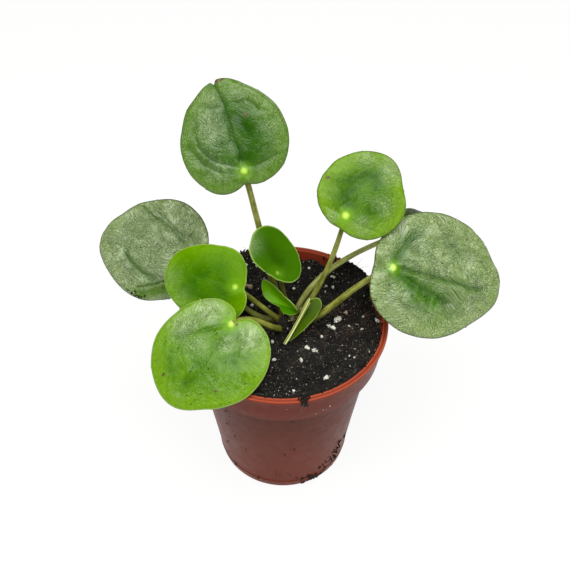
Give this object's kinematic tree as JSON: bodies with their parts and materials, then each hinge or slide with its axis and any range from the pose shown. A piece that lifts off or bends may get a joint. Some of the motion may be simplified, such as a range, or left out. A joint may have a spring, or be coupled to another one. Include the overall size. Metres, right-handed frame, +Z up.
{
  "type": "potted pilea plant",
  "caption": "Young pilea with round leaves, each held near its middle by a long stalk, on one short stem in a peat-filled tapered plastic nursery pot.",
  "frame": {"origin": "middle of the pot's flat base, on the surface it stands on", "axes": "+Z up along the pot's axis, -Y to the front, where the picture is taken from, +X to the right seen from the front"},
  "size_m": [0.1727, 0.1022, 0.1768],
  "materials": {
    "pot": "satin, terracotta-coloured thin plastic",
    "soil": "matt, dark moist peat with crumbs",
    "stem": "matt, green-brown young bark",
    "stalk": "smooth, softly shining olive green",
    "leaf_old": "waxy, finely wrinkled, green with a grey sheen",
    "leaf_young": "waxy and smooth, bright green"
  },
  "bodies": {
    "root": {"pot": "pot", "soil": "soil", "stem": "stem", "stalk_top": "stalk", "blade_top": "leaf_old", "stalk_right_high": "stalk", "blade_right_high": "leaf_young", "stalk_right_low": "stalk", "blade_right_low": "leaf_old", "stalk_right_back": "stalk", "blade_right_back": "leaf_old", "stalk_centre": "stalk", "blade_centre": "leaf_young", "stalk_left_back": "stalk", "blade_left_back": "leaf_old", "stalk_left_middle": "stalk", "blade_left_middle": "leaf_young", "stalk_left_front": "stalk", "blade_left_front": "leaf_young", "stalk_young_curled": "stalk", "blade_young_curled": "leaf_young", "stalk_young_folded": "stalk", "blade_young_folded": "leaf_young"}
  },
  "joints": []
}
